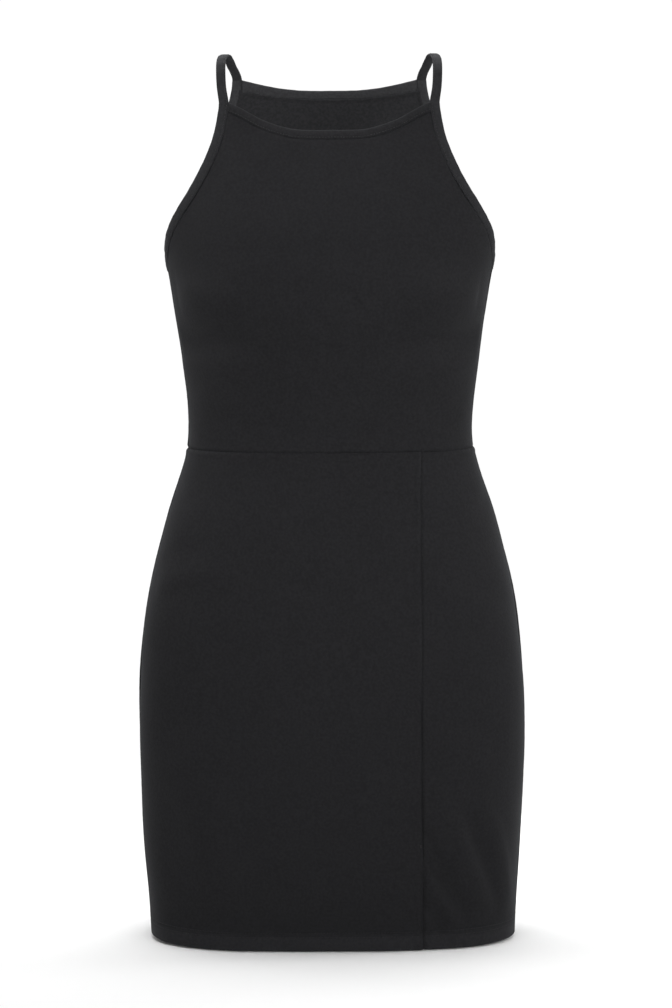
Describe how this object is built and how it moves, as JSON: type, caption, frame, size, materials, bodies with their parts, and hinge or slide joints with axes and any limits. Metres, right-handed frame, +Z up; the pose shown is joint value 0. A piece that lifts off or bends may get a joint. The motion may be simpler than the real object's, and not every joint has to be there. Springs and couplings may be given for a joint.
{
  "type": "close-fitting sleeveless mini dress",
  "caption": "Hollow, worn-form mini dress with a high curved neck, thin shoulder straps, a waist seam and an off-centre skirt seam that ends in a short slit.",
  "frame": {"origin": "midway between the tops of the two shoulder straps, where the wearer's shoulders hold the dress up", "axes": "+Z up along the body, +X to the wearer's left, -Y to the front"},
  "size_m": [0.3618, 0.252, 0.8278],
  "materials": {
    "dress_cloth": "matt fine knit, near black",
    "binding_cloth": "matt fine knit, near black, folded strip"
  },
  "bodies": {
    "root": {"bodice_front": "dress_cloth", "bodice_back": "dress_cloth", "skirt_front": "dress_cloth", "skirt_side_front": "dress_cloth", "skirt_back": "dress_cloth", "neck_binding_front": "binding_cloth", "neck_binding_back": "binding_cloth", "armhole_strap_left": "binding_cloth", "armhole_strap_right": "binding_cloth"}
  },
  "joints": []
}
